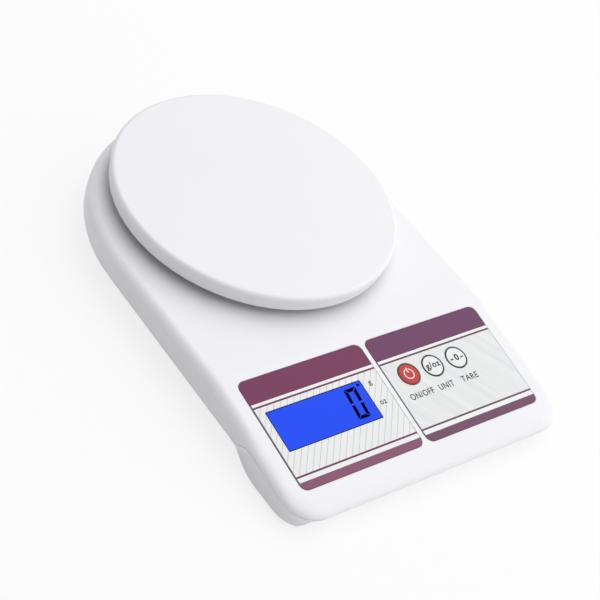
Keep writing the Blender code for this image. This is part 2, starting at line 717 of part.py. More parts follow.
platform = add_object("weighing_platform", turned(platform_profile(), TURN_STEPS), WHITE_ABS, None,
                      (0.0, PLATFORM_Y, PLATFORM_TOP))
PEG_PLACES = [(PEG_CIRCLE * math.cos(math.radians(45.0 + 90.0 * i)),
               PLATFORM_Y + PEG_CIRCLE * math.sin(math.radians(45.0 + 90.0 * i))) for i in range(4)]
for i, spot in enumerate(PEG_PLACES):
    boolean(platform, "UNION", "platform_peg_%d" % i,
            prism(circle(PEG_RADIUS, 16, spot), CARRIER_BOTTOM + GAP, PLATFORM_TOP - PLATFORM_WALL / 2))


# Platform carrier: a cross with four sockets and a hub that goes down to the load cell
SEAT_TOP = PLATFORM_TOP - PLATFORM_WALL - GAP
carrier_plate = prism(circle(ARM_WIDTH * 1.5, 32), CARRIER_BOTTOM, CARRIER_TOP)
carrier = add_object("platform_carrier", carrier_plate, WHITE_PLASTIC, None, (0.0, PLATFORM_Y, 0.0))
for i in range(2):
    arm = block((2 * PEG_CIRCLE, ARM_WIDTH, CARRIER_THICKNESS * 0.8),
                (0.0, 0.0, (CARRIER_BOTTOM + CARRIER_TOP) / 2))
    bmesh.ops.rotate(arm, verts=arm.verts, cent=(0.0, 0.0, 0.0),
                     matrix=Matrix.Rotation(math.radians(45.0 + 90.0 * i), 3, "Z"))
    boolean(carrier, "UNION", "carrier_arm_%d" % i, arm, None, (0.0, PLATFORM_Y, 0.0))
strap = block((HUB_RADIUS * 1.6, HUB_OFFSET, CARRIER_THICKNESS * 0.9),
              (0.0, PLATFORM_Y + HUB_OFFSET / 2, (CARRIER_BOTTOM + CARRIER_TOP) / 2))
boolean(carrier, "UNION", "carrier_strap", strap)
hub = prism(circle(HUB_RADIUS, 24, (0.0, HUB_Y)), CELL_TOP + GAP, CARRIER_TOP + GAP)
boolean(carrier, "UNION", "carrier_hub", hub)
for i, spot in enumerate(PEG_PLACES):
    socket = prism(circle(PEG_RADIUS + 0.0025, 18, spot), CARRIER_BOTTOM - GAP, SEAT_TOP)
    boolean(carrier, "UNION", "carrier_socket_%d" % i, socket)
    hole = prism(circle(PEG_RADIUS + GAP, 16, spot), CARRIER_BOTTOM - WALL, PLATFORM_TOP)
    boolean(carrier, "DIFFERENCE", "carrier_hole_%d" % i, hole)

# Load cell: a square bar with two bending holes joined by a slot, screwed down at its front end
cell_centre = (0.0, CELL_Y, CELL_BOTTOM + CELL_SIZE / 2)
load_cell = add_object("load_cell", block((CELL_SIZE, CELL_LENGTH, CELL_SIZE), (0.0, 0.0, 0.0)), ALUMINIUM,
                       None, cell_centre)
for side in (-1, 1):
    y = CELL_Y + side * CELL_HOLE_PITCH / 2
    boolean(load_cell, "DIFFERENCE", "cell_hole_%d" % side,
            bar(CELL_HOLE_RADIUS, (-CELL_SIZE, y, cell_centre[2]), (CELL_SIZE, y, cell_centre[2]), 24))
boolean(load_cell, "DIFFERENCE", "cell_slot", block((2 * CELL_SIZE, CELL_HOLE_PITCH, CELL_SLOT), cell_centre))
gauge_size = (CELL_SIZE, CELL_HOLE_PITCH + 2 * CELL_HOLE_RADIUS, GAUGE_COVER - GAP)
add_object("gauge_cover", block(gauge_size, (0.0, 0.0, 0.0)), WHITE_SILICONE, None,
           (0.0, CELL_Y, CELL_BOTTOM - GAP - gauge_size[2] / 2))
add_object("load_cell_spacer", block((CELL_SIZE, SPACER_LENGTH, SPACER_THICKNESS), (0.0, 0.0, 0.0)), ALUMINIUM,
           None, (0.0, CELL_FRONT + SPACER_LENGTH / 2, CELL_BOTTOM - GAP - SPACER_THICKNESS / 2))

# Labels in the panel
label_outline = rounded_rectangle(LABEL_WIDTH, LABEL_HEIGHT, LABEL_RADIUS)
window_outline = rounded_rectangle(WINDOW_WIDTH, WINDOW_HEIGHT, WINDOW_RADIUS, 5,
                                   (WINDOW_X + LABEL_CENTRE_X, LABEL_CENTRE_DOWN - WINDOW_DOWN))
add_object("display_label", ring_prism(label_outline, window_outline, -LABEL_THICKNESS, 0.0), LABEL_FILM,
           panel, (-LABEL_CENTRE_X, -LABEL_CENTRE_DOWN, 0.0))
keypad = add_object("keypad_label", prism(label_outline, -LABEL_THICKNESS, 0.0), LABEL_FILM,
                    panel, (LABEL_CENTRE_X, -LABEL_CENTRE_DOWN, 0.0))
for name, x in zip(KEY_NAMES, KEY_X):
    boolean(keypad, "DIFFERENCE", name + "_key_window",
            prism(circle(KEY_RADIUS + GAP, 32), -WALL, WALL), panel, (x, -KEY_DOWN, 0.0))

# Clear lens: a pad that fills the label's window on a flange below it
lens = prism(rounded_rectangle(WINDOW_WIDTH + 2 * (LENS_FLANGE - GAP), WINDOW_HEIGHT + 2 * (LENS_FLANGE - GAP),
                               0.001), -LENS_SEAT + GAP, -RECESS_DEPTH)
lens_object = add_object("display_window", lens, CLEAR_LENS, panel, (WINDOW_X, -WINDOW_DOWN, 0.0))
pad = prism(rounded_rectangle(WINDOW_WIDTH - 2 * GAP, WINDOW_HEIGHT - 2 * GAP, WINDOW_RADIUS),
            -LENS_SEAT + 1.5 * GAP, -GAP / 3)
boolean(lens_object, "UNION", "lens_pad", pad, panel, (WINDOW_X, -WINDOW_DOWN, 0.0))

# Display stack under the panel: glass, its frame, the light panel and two contact strips
glass = rounded_rectangle(GLASS_WIDTH, GLASS_HEIGHT, 0.0006, 2)
add_object("lcd_glass", prism(glass, -GLASS_DEPTH - GLASS_THICKNESS, -GLASS_DEPTH), BLUE_GLASS,
           panel, (WINDOW_X, -WINDOW_DOWN, 0.0))
frame_inner = rounded_rectangle(GLASS_WIDTH + 2 * GAP, GLASS_HEIGHT + 2 * GAP, 0.0009, 3)
frame_outer = rounded_rectangle(GLASS_WIDTH + 2 * (GAP + FRAME_WALL), GLASS_HEIGHT + 2 * (GAP + FRAME_WALL),
                                0.002, 3)
add_object("lcd_frame", ring_prism(frame_outer, frame_inner, -BOARD_DEPTH + GAP, -GLASS_DEPTH), WHITE_PLASTIC,
           panel, (WINDOW_X, -WINDOW_DOWN, 0.0))
light = rounded_rectangle(GLASS_WIDTH - 2 * GAP, GLASS_HEIGHT - 2 * (STRIP_WIDTH + 2 * GAP), 0.001, 2)
add_object("backlight_panel", prism(light, -BOARD_DEPTH + GAP, -BACKLIGHT_DEPTH), WHITE_PLASTIC,
           panel, (WINDOW_X, -WINDOW_DOWN, 0.0))
for side, word in [(1, "upper"), (-1, "lower")]:
    strip = block((GLASS_WIDTH - 4 * GAP, STRIP_WIDTH, BACKLIGHT_THICKNESS),
                  (0.0, 0.0, -(BACKLIGHT_DEPTH + BACKLIGHT_THICKNESS / 2)))
    add_object("lcd_strip_" + word, strip, BLACK_PLASTIC, panel,
               (WINDOW_X, -WINDOW_DOWN + side * (GLASS_HEIGHT / 2 - STRIP_WIDTH / 2 - GAP / 2), 0.0))

# Circuit board with its sealed chip
board_size = (BOARD_RIGHT_EDGE - BOARD_LEFT, BOARD_LOW_DOWN - BOARD_TOP_DOWN)
board_centre = ((BOARD_RIGHT_EDGE + BOARD_LEFT) / 2, -(BOARD_LOW_DOWN + BOARD_TOP_DOWN) / 2, 0.0)
add_object("circuit_board", prism(rounded_rectangle(*board_size, 0.002, 3), -BOARD_DEPTH - BOARD_THICKNESS,
                                  -BOARD_DEPTH), GREEN_BOARD, panel, board_centre)
chip_profile = [(0.0, CHIP_HEIGHT), (CHIP_RADIUS * 0.5, CHIP_HEIGHT * 0.87), (CHIP_RADIUS * 0.87, CHIP_HEIGHT * 0.5),
                (CHIP_RADIUS, 0.0), (0.0, 0.0)]
add_object("controller_chip", turned(chip_profile, 20), BLACK_PLASTIC, panel,
           (KEY_X[1], -KEY_DOWN - KEY_PITCH, -BOARD_DEPTH + GAP))

# Keys: a crowned film spot on a plunger, over a switch stem in its switch
STEM_TOP = WALL + 4 * GAP
SWITCH_TOP = BOARD_DEPTH - GAP - SWITCH_HEIGHT
for name, x in zip(KEY_NAMES, KEY_X):
    place = (x, -KEY_DOWN, 0.0)
    profile = [(0.0, KEY_CROWN), (KEY_RADIUS * 0.6, KEY_CROWN * 0.9), (KEY_RADIUS, 0.0),
               (KEY_RADIUS, -LABEL_THICKNESS), (PLUNGER_RADIUS, -LABEL_THICKNESS),
               (PLUNGER_RADIUS, -STEM_TOP + GAP), (0.0, -STEM_TOP + GAP)]
    add_object(name + "_key", turned(profile, 32), RED_FILM if name == "power" else KEY_FILM, panel, place)
    stem_low = SWITCH_TOP + SWITCH_HEIGHT * 0.4
    add_object(name + "_switch_stem", prism(circle(STEM_RADIUS, 16), -stem_low, -STEM_TOP), BLACK_PLASTIC,
               panel, place)
    housing = prism(rounded_rectangle(SWITCH_SIZE, SWITCH_SIZE, 0.0006, 2), -SWITCH_TOP - SWITCH_HEIGHT, -SWITCH_TOP)
    switch = add_object(name + "_switch", housing, BLACK_PLASTIC, panel, place)
    bore = prism(circle(STEM_RADIUS + GAP, 16), -stem_low - KEY_TRAVEL - GAP, -SWITCH_TOP + WALL)
    boolean(switch, "DIFFERENCE", name + "_switch_bore", bore, panel, place)

# Battery door: a plate with two pinned tabs at its hinge edge and a lip in the finger scoop
hinge = frame_empty("door_hinge", (0.0, HINGE_Y, HINGE_Z))
door_span = CAVITY_LENGTH - 2 * DOOR_GAP
door_back_gap = math.hypot(HINGE_Z - BASE_Z, HINGE_BACK + GAP) - HINGE_BACK
door_run = CAVITY_DEPTH - DOOR_GAP - door_back_gap
door_plate = prism(rounded_rectangle(door_span, door_run, 0.001, 2), BASE_Z - HINGE_Z, BASE_Z + DOOR_THICKNESS - HINGE_Z)
door = add_object("battery_door", door_plate, WHITE_ABS, hinge,
                  (0.0, BATTERY_Y - HINGE_Y + (DOOR_GAP - door_back_gap) / 2, 0.0))
for side in (-1, 1):
    tab_thickness = 2 * (HINGE_PIN_RADIUS + GAP / 2)
    tab_run = HINGE_BACK + 2 * DOOR_GAP + 0.001
    tab = block((HINGE_TAB, tab_run, tab_thickness), (side * HINGE_SPREAD, -tab_run / 2, 0.0))
    boolean(door, "UNION", "door_tab_%d" % side, tab, hinge)
    knuckle = bar(tab_thickness / 2 + GAP / 4, (side * HINGE_SPREAD - HINGE_TAB / 2 + GAP, 0.0, 0.0),
                  (side * HINGE_SPREAD + HINGE_TAB / 2 - GAP, 0.0, 0.0), 12)
    boolean(door, "UNION", "door_knuckle_%d" % side, knuckle, hinge)
    reach = HINGE_TAB / 2 + PIN_REACH
    pin = bar(HINGE_PIN_RADIUS, (side * HINGE_SPREAD - reach, 0.0, 0.0), (side * HINGE_SPREAD + reach, 0.0, 0.0), 12)
    boolean(door, "UNION", "door_pin_%d" % side, pin, hinge)
lip = block((0.006, 0.004, SCOOP_DEPTH - GAP), (0.0, DOOR_FRONT - HINGE_Y + 0.0005, BASE_Z - HINGE_Z
                                               + (SCOOP_DEPTH - GAP) / 2 + GAP / 4))
boolean(door, "UNION", "door_lip", lip, hinge)

# Two AA cells lying head to tail, with their contacts and springs
CAVITY_END = CAVITY_LENGTH / 2
contact_height = BATTERY_DIAMETER * 0.7


def contact(name, side, y, depth):
    """A flat contact plate against one end of the battery tub."""
    x = side * (CAVITY_END - GAP - CONTACT_THICKNESS / 2)
    add_object(name, block((CONTACT_THICKNESS, depth, contact_height), (0.0, 0.0, 0.0)), NICKEL, None,
               (x, y, BATTERY_Z))


contact("contact_bridge", -1, BATTERY_Y, BATTERY_PITCH + BATTERY_DIAMETER * 0.7)
contact("contact_positive", 1, ROWS[0], BATTERY_DIAMETER * 0.7)
contact("contact_negative", 1, ROWS[1], BATTERY_DIAMETER * 0.7)


def spring_points(side, y):
    """A tapering coil from a contact plate to the flat end of a cell, along X."""
    start = CAVITY_END - 2 * GAP - CONTACT_THICKNESS - SPRING_WIRE / 2
    run = SPRING_LENGTH - SPRING_WIRE
    count = SPRING_TURNS * 9
    points = []
    for i in range(count + 1):
        share = i / count
        angle = 2.0 * math.pi * SPRING_TURNS * share
        radius = SPRING_BASE_RADIUS + (SPRING_TIP_RADIUS - SPRING_BASE_RADIUS) * share
        points.append(Vector((side * (start - run * share), y + radius * math.cos(angle),
                              BATTERY_Z + radius * math.sin(angle))))
    return points


def least_gap(points, wire):
    """Smallest clear space between neighbouring curls of a coil."""
    far = 6
    spans = [(points[i] - points[j]).length for i in range(len(points)) for j in range(i + far, len(points))]
    return min(spans) - wire


for name, side, y in [("front", -1, ROWS[0]), ("rear", 1, ROWS[1])]:
    coil = spring_points(side, y)
    tube("battery_spring_" + name, coil, SPRING_WIRE, NICKEL, 1)
    print("battery_spring_%s least gap %.2f mm" % (name, 1000 * least_gap(coil, SPRING_WIRE)))
    body = BATTERY_LENGTH - NUB_LENGTH
    bevel = 0.0006
    radius = BATTERY_DIAMETER / 2
    profile = [(0.0, BATTERY_LENGTH), (NUB_RADIUS, BATTERY_LENGTH), (NUB_RADIUS, body), (radius - bevel, body),
               (radius, body - bevel), (radius, bevel), (radius - bevel, 0.0), (0.0, 0.0)]
    cell = turned(profile, 28)
    turn = Matrix.Rotation(math.radians(-90.0 * side), 3, "Y")
    bmesh.ops.rotate(cell, verts=cell.verts, cent=(0.0, 0.0, 0.0), matrix=turn)
    flat_end = side * (CAVITY_END - 3 * GAP - CONTACT_THICKNESS - SPRING_LENGTH)
    add_object("battery_" + name, cell, CELL_WRAP, None, (flat_end, y, BATTERY_Z))

# Leads inside the case
lead_start = CAVITY_END - GAP + GAP
board_under = BOARD_DEPTH + BOARD_THICKNESS + GAP
tub_side = CAVITY_END + TUB_WALL
for name, y, across, material in [("battery_lead_red", ROWS[0], KEY_X[2] + LEAD_LANDING, RED_LEAD),
                                  ("battery_lead_black", ROWS[1], KEY_X[2] - LEAD_DIP, BLACK_LEAD)]:
    end = panel_point(across, BOARD_TOP_DOWN + LEAD_LANDING, board_under + LEAD_DIAMETER / 2)
    stops = [(lead_start + LEAD_DIAMETER / 2, y, LEAD_HOLE_Z), (tub_side + LEAD_EXIT, y, LEAD_HOLE_Z),
             (tub_side + LEAD_TURN, y - LEAD_SLIP, LEAD_HOLE_Z - LEAD_DIP),
             (across - LEAD_DIP / 2, BEND_Y + LEAD_EXIT, LEAD_HOLE_Z - 2 * LEAD_DIP),
             end + Vector((0.0, 2 * LEAD_RISE, -LEAD_RISE)), end]
    tube(name, smooth_route(stops, 2.5 * LEAD_DIAMETER), LEAD_DIAMETER, material, 2)
end = panel_point(KEY_X[1], BOARD_TOP_DOWN + LEAD_LANDING, board_under + CABLE_DIAMETER / 2)
cable_z = FLOOR_TOP + GAP + CABLE_DIAMETER / 2
cell_side = CELL_SIZE / 2 + GAP
stops = [(cell_side + CABLE_DIAMETER / 2, CELL_Y - CELL_HOLE_PITCH, CELL_BOTTOM + CELL_SIZE / 2),
         (cell_side + CABLE_SWING, CELL_Y - CELL_HOLE_PITCH - CABLE_SWING, CELL_BOTTOM + CELL_SIZE / 3),
         (tub_side - 2 * CABLE_SWING, CELL_FRONT + CABLE_PASS, cable_z + CABLE_RISE),
         (tub_side + CABLE_STAND_OFF, BATTERY_Y + CAVITY_DEPTH / 2, cable_z),
         (tub_side + CABLE_STAND_OFF + CABLE_RISE, BATTERY_Y, cable_z),
         (tub_side + CABLE_RISE, BEND_Y - CABLE_RISE, cable_z + CABLE_RISE / 2),
         end + Vector((0.0, 2 * CABLE_RISE, -2 * CABLE_RISE)), end]
tube("load_cell_cable", smooth_route(stops, 2.5 * CABLE_DIAMETER), CABLE_DIAMETER, GREY_CABLE, 2)
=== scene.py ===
import json
import math

import bpy
from mathutils import Matrix, Vector

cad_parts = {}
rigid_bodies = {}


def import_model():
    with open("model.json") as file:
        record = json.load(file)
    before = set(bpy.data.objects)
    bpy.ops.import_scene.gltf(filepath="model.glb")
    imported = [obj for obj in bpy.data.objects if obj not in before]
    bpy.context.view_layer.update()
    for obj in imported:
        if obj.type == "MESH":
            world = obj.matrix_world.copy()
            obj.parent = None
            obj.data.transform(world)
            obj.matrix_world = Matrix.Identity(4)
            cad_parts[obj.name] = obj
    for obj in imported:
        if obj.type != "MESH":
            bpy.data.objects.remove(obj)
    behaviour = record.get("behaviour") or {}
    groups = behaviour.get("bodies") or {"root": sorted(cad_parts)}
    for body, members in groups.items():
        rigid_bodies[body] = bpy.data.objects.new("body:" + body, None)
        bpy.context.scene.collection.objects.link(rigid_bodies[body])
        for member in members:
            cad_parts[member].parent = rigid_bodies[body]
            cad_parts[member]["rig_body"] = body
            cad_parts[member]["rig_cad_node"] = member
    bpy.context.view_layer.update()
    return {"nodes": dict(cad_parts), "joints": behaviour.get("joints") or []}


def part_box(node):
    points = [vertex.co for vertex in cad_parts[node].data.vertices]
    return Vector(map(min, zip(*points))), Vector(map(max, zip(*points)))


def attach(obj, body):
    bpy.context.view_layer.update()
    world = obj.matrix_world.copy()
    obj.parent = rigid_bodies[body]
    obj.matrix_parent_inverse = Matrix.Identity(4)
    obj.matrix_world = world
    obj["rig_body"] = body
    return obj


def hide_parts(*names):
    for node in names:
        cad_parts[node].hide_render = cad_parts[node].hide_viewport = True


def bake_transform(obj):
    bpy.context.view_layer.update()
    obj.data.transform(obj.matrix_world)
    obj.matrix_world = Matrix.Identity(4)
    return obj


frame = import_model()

# Lower case: the white ABS tray that carries everything, moulded in one shot.
# It is a fair copy of the CAD shell with welded facets and smooth round faces.
weld_distance = 0.00001
flat_angle = math.radians(0.6)


def fair_copy(node, name, body, crease=30.0):
    """Copy a CAD node, weld its facets and round its shading; it rides on a body where one is given."""
    bpy.ops.object.select_all(action="DESELECT")
    source = frame["nodes"][node]
    source.select_set(True)
    bpy.context.view_layer.objects.active = source
    bpy.ops.object.duplicate()
    piece = bpy.context.view_layer.objects.active
    piece.name = name
    piece.parent = None
    piece.matrix_world = Matrix.Identity(4)
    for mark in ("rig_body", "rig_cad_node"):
        if mark in piece:
            del piece[mark]
    bpy.ops.object.mode_set(mode="EDIT")
    bpy.ops.mesh.select_all(action="SELECT")
    bpy.ops.mesh.remove_doubles(threshold=weld_distance)
    bpy.ops.mesh.dissolve_limited(angle_limit=flat_angle)
    bpy.ops.object.mode_set(mode="OBJECT")
    bpy.ops.object.shade_smooth_by_angle(angle=math.radians(crease))
    weigh = piece.modifiers.new("even_normals", "WEIGHTED_NORMAL")
    weigh.keep_sharp = True
    bpy.ops.object.modifier_apply(modifier=weigh.name)
    if body:
        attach(piece, body)
    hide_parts(node)
    return piece


def sum_of(tree, operation, first, second=0.0, third=None):
    """One step of sums in a node tree, on sockets or plain numbers."""
    step = tree.nodes.new("ShaderNodeMath")
    step.operation = operation
    for place, value in enumerate((first, second, third)):
        if value is None:
            continue
        if isinstance(value, (int, float)):
            step.inputs[place].default_value = value
        else:
            tree.links.new(value, step.inputs[place])
    return step.outputs[0]


def skin_group():
    """Fine moulding grain, slow shade drift and uneven gloss, as one reusable group."""
    group = bpy.data.node_groups.new("moulded_skin", "ShaderNodeTree")
    for label, kind in [("Colour", "NodeSocketColor"), ("Drift", "NodeSocketColor"),
                        ("Grain Scale", "NodeSocketFloat"), ("Drift Scale", "NodeSocketFloat"),
                        ("Gloss Low", "NodeSocketFloat"), ("Gloss High", "NodeSocketFloat")]:
        group.interface.new_socket(label, in_out="INPUT", socket_type=kind)
    for label, kind in [("Colour", "NodeSocketColor"), ("Roughness", "NodeSocketFloat"),
                        ("Height", "NodeSocketFloat")]:
        group.interface.new_socket(label, in_out="OUTPUT", socket_type=kind)
    nodes, links = group.nodes, group.links
    inside = nodes.new("NodeGroupInput")
    outside = nodes.new("NodeGroupOutput")
    place = nodes.new("ShaderNodeTexCoord")
    grain = nodes.new("ShaderNodeTexNoise")
    grain.inputs["Detail"].default_value = 3.0
    drift = nodes.new("ShaderNodeTexNoise")
    drift.inputs["Detail"].default_value = 4.0
    links.new(place.outputs["Object"], grain.inputs["Vector"])
    links.new(place.outputs["Object"], drift.inputs["Vector"])
    links.new(inside.outputs["Grain Scale"], grain.inputs["Scale"])
    links.new(inside.outputs["Drift Scale"], drift.inputs["Scale"])
    tint = nodes.new("ShaderNodeMix")
    tint.data_type = "RGBA"
    links.new(drift.outputs["Fac"], tint.inputs["Factor"])
    links.new(inside.outputs["Colour"], tint.inputs["A"])
    links.new(inside.outputs["Drift"], tint.inputs["B"])
    half_drift = sum_of(group, "MULTIPLY", drift.outputs["Fac"], 0.5)
    mean = sum_of(group, "MULTIPLY_ADD", grain.outputs["Fac"], 0.5, half_drift)
    gloss = nodes.new("ShaderNodeMapRange")
    gloss.inputs["From Min"].default_value = 0.3
    gloss.inputs["From Max"].default_value = 0.7
    links.new(mean, gloss.inputs["Value"])
    links.new(inside.outputs["Gloss Low"], gloss.inputs["To Min"])
    links.new(inside.outputs["Gloss High"], gloss.inputs["To Max"])
    links.new(tint.outputs["Result"], outside.inputs["Colour"])
    links.new(gloss.outputs["Result"], outside.inputs["Roughness"])
    links.new(grain.outputs["Fac"], outside.inputs["Height"])
    return group


moulded_skin = skin_group()


def skin(name, colour, drift, grain=2200.0, patch=26.0, gloss=(0.34, 0.46), relief=0.00001, strength=0.25,
         metal=0.0, specular=0.5):
    """A material whose colour, gloss and relief come from the moulded skin."""
    material = bpy.data.materials.new(name)
    material.use_nodes = True
    nodes, links = material.node_tree.nodes, material.node_tree.links
    shader = nodes["Principled BSDF"]
    surface = nodes.new("ShaderNodeGroup")
    surface.node_tree = moulded_skin
    for label, value in [("Colour", (*colour, 1.0)), ("Drift", (*drift, 1.0)), ("Grain Scale", grain),
                         ("Drift Scale", patch), ("Gloss Low", gloss[0]), ("Gloss High", gloss[1])]:
        surface.inputs[label].default_value = value
    bump = nodes.new("ShaderNodeBump")
    bump.inputs["Distance"].default_value = relief
    bump.inputs["Strength"].default_value = strength
    links.new(surface.outputs["Colour"], shader.inputs["Base Color"])
    links.new(surface.outputs["Roughness"], shader.inputs["Roughness"])
    links.new(surface.outputs["Height"], bump.inputs["Height"])
    links.new(bump.outputs["Normal"], shader.inputs["Normal"])
    shader.inputs["Metallic"].default_value = metal
    shader.inputs["Specular IOR Level"].default_value = specular
    return material


def dress(piece, material):
    """Give a piece or a CAD node one finish all over."""
    if not piece.material_slots:
        piece.data.materials.append(material)
    for place in piece.material_slots:
        place.material = material


white_abs = skin("white_moulded_case", (0.872, 0.866, 0.897), (0.856, 0.850, 0.882))
lower_case = fair_copy("lower_case", "lower_case_shell", "case")
dress(lower_case, white_abs)

# Rubber feet: four soft grey discs pressed into seats under the tray.
# Their outer edge is chamfered and their face is dull and dusty.
rubber = skin("foot_rubber", (0.16, 0.16, 0.165), (0.21, 0.21, 0.21), grain=900.0, patch=140.0,
              gloss=(0.75, 0.92), relief=0.00004, strength=0.5)
for foot in ("foot_front_left", "foot_front_right", "foot_rear_left", "foot_rear_right"):
    piece = fair_copy(foot, foot + "_pad", "case")
    dress(piece, rubber)

# Battery contacts and springs: nickel-plated strip and wire, pressed and wound.
# The plates stand in the ends of the tub, the tapered coils push the cells.
nickel = skin("nickel_plate", (0.62, 0.60, 0.56), (0.54, 0.52, 0.48), grain=1500.0, patch=300.0,
              gloss=(0.18, 0.34), relief=0.000004, metal=1.0)
wire_crease = 60.0
for contact in ("contact_bridge", "contact_positive", "contact_negative"):
    dress(frame["nodes"][contact], nickel)
for spring in ("battery_spring_front", "battery_spring_rear"):
    piece = fair_copy(spring, spring + "_coil", "case", wire_crease)
    dress(piece, nickel)

# Cells: two plain AA cells with a printed film wrap, head to tail in the tub.
# The wrap is dark with a copper band at the positive third.
wrap_copper = (0.46, 0.20, 0.07)
copper_share = 0.3


def paint(tree, base, ink, mask):
    """Lay an ink over a base colour where a mask is 1."""
    layer = tree.nodes.new("ShaderNodeMix")
    layer.data_type = "RGBA"
    layer.inputs["B"].default_value = (*ink, 1.0)
    tree.links.new(base, layer.inputs["A"])
    tree.links.new(mask, layer.inputs["Factor"])
    return layer.outputs["Result"]


def wrap_finish(name, node, head):
    """Dark film with a copper band at the end where the cell's head is."""
    material = skin(name, (0.018, 0.020, 0.024), (0.030, 0.032, 0.036), grain=700.0, patch=60.0,
                    gloss=(0.22, 0.34))
    tree = material.node_tree
    base = tree.nodes["Principled BSDF"].inputs["Base Color"]
    place = tree.nodes.new("ShaderNodeTexCoord")
    axes = tree.nodes.new("ShaderNodeSeparateXYZ")
    tree.links.new(place.outputs["Object"], axes.inputs["Vector"])
    low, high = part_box(node)
    band_length = copper_share * (high.x - low.x)
    if head > 0:
        band = sum_of(tree, "GREATER_THAN", axes.outputs["X"], high.x - band_length)
    else:
        band = sum_of(tree, "LESS_THAN", axes.outputs["X"], low.x + band_length)
    tree.links.new(paint(tree, base.links[0].from_socket, wrap_copper, band), base)
    return material


for node, head in [("battery_front", 1), ("battery_rear", -1)]:
    piece = fair_copy(node, node + "_cell", "case")
    dress(piece, wrap_finish(node + "_wrap", node, head))

# Battery door: a white ABS plate with two pinned tabs, snapped in under the tray.
# It is moulded in the same plastic as the case.
door = fair_copy("battery_door", "battery_door_cover", "door")
dress(door, white_abs)

# Load cell: a milled aluminium bar with two bending holes, its spacer and its white sealant.
# The bar is screwed down at the front and carries the platform at the rear.
milled = skin("milled_aluminium", (0.62, 0.63, 0.65), (0.55, 0.56, 0.58), grain=500.0, patch=240.0,
              gloss=(0.30, 0.46), relief=0.000006, metal=1.0)
sealant = skin("gauge_sealant", (0.78, 0.78, 0.75), (0.70, 0.70, 0.67), grain=300.0, patch=120.0,
               gloss=(0.5, 0.7), relief=0.00006)
cell_bar = fair_copy("load_cell", "load_cell_bar", None)
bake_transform(cell_bar)
dress(cell_bar, milled)
dress(frame["nodes"]["load_cell_spacer"], milled)
dress(frame["nodes"]["gauge_cover"], sealant)

# Circuit board and what stands on it: green laminate, black chip and switches, white display frame.
# They hang from posts under the panel, parallel to it.
laminate = skin("green_laminate", (0.020, 0.150, 0.055), (0.035, 0.230, 0.085), grain=420.0, patch=520.0,
                gloss=(0.28, 0.46), relief=0.00002)
black_plastic = skin("black_moulding", (0.022, 0.022, 0.023), (0.034, 0.034, 0.035), grain=1800.0,
                     patch=90.0, gloss=(0.42, 0.58))
white_moulding = skin("white_inner_moulding", (0.78, 0.78, 0.76), (0.73, 0.73, 0.71), grain=1800.0,
                      patch=60.0, gloss=(0.42, 0.58))
display_glass = skin("display_glass", (0.02, 0.05, 0.42), (0.03, 0.06, 0.48), grain=300.0, patch=90.0,
                     gloss=(0.06, 0.12), relief=0.000001)
dress(frame["nodes"]["circuit_board"], laminate)
for node in ("controller_chip", "power_switch", "unit_switch", "tare_switch", "power_switch_stem",
             "unit_switch_stem", "tare_switch_stem", "lcd_strip_upper", "lcd_strip_lower"):
    dress(frame["nodes"][node], black_plastic)
for node in ("lcd_frame", "backlight_panel"):
    dress(frame["nodes"][node], white_moulding)
dress(frame["nodes"]["lcd_glass"], display_glass)

# Leads: insulated wires held inside the case, from the cells and the load cell to the board.
# Each is a smooth copy of its CAD route.
def shade(colour, share):
    """A colour darkened to a share of itself."""
    return tuple(share * value for value in colour)


for node, colour, slot in [("battery_lead_red", (0.50, 0.02, 0.015), "red_lead"),
                           ("battery_lead_black", (0.015, 0.015, 0.016), "black_lead"),
                           ("load_cell_cable", (0.36, 0.36, 0.37), "grey_cable")]:
    piece = fair_copy(node, node + "_wire", "case", wire_crease)
    dress(piece, skin(node + "_sleeve", colour, shade(colour, share=0.85), grain=1200.0, patch=300.0,
                      gloss=(0.35, 0.5)))

# Upper case: the white ABS lid with its skirt, soft edges and sloped panel.
# Two shallow seats in the panel take the labels.
upper_case = fair_copy("upper_case", "upper_case_shell", "case")
dress(upper_case, white_abs)

# Labels: two printed films in the panel, silver with painted sheen streaks, plum bands, rules and slanted
# hatching.
# The left one frames the display, the right one carries the keys; each has a painted recess shadow along
# its left edge, and painted sheen lightens its lower plum band.
press_axis = next(joint["axis"] for joint in frame["joints"] if joint["name"] == "power_press")
panel_tilt = math.asin(press_axis[1])
label_low, label_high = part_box("display_label")
film_thickness = 0.0005
label_rear = label_high.y - film_thickness * math.sin(panel_tilt)
label_height = (label_rear - label_low.y) / math.cos(panel_tilt)
panel_origin = Vector((0.0, label_rear, label_high.z))
panel_frame = Matrix.Translation(panel_origin) @ Matrix.Rotation(panel_tilt, 4, "X")
plum_left = (0.172, 0.030, 0.090)
plum_right = (0.146, 0.044, 0.116)
# The lower bands' plums are lighter copies of the top plums: painted sheen on the same ink.
plum_left_low_sheen = (0.238, 0.083, 0.151)
plum_right_low_sheen = (0.164, 0.066, 0.126)
# Painted recess shadow: the grey of the thin line along each film's left edge.
recess_shadow_grey = (0.135, 0.135, 0.140)
silver_left = (0.850, 0.865, 0.865)
silver_right = (0.862, 0.875, 0.880)
rule_right = (0.13, 0.06, 0.08)
top_band = 0.0118
top_strip = 0.0014
rule = 0.0009
low_band = 0.0040
low_strip = 0.0022
lines_ahead = 400.0


def panel_axes(tree, centre=(0.0, 0.0, 0.0)):
    """Places on the panel from a centre on it: across, up the slope, and the whole vector."""
    place = tree.nodes.new("ShaderNodeTexCoord")
    turn = tree.nodes.new("ShaderNodeMapping")
    turn.vector_type = "TEXTURE"
    turn.inputs["Location"].default_value = panel_frame @ Vector(centre)
    turn.inputs["Rotation"].default_value = (panel_tilt, 0.0, 0.0)
    axes = tree.nodes.new("ShaderNodeSeparateXYZ")
    tree.links.new(place.outputs["Object"], turn.inputs["Vector"])
    tree.links.new(turn.outputs["Vector"], axes.inputs["Vector"])
    return axes.outputs["X"], axes.outputs["Y"], turn.outputs["Vector"]


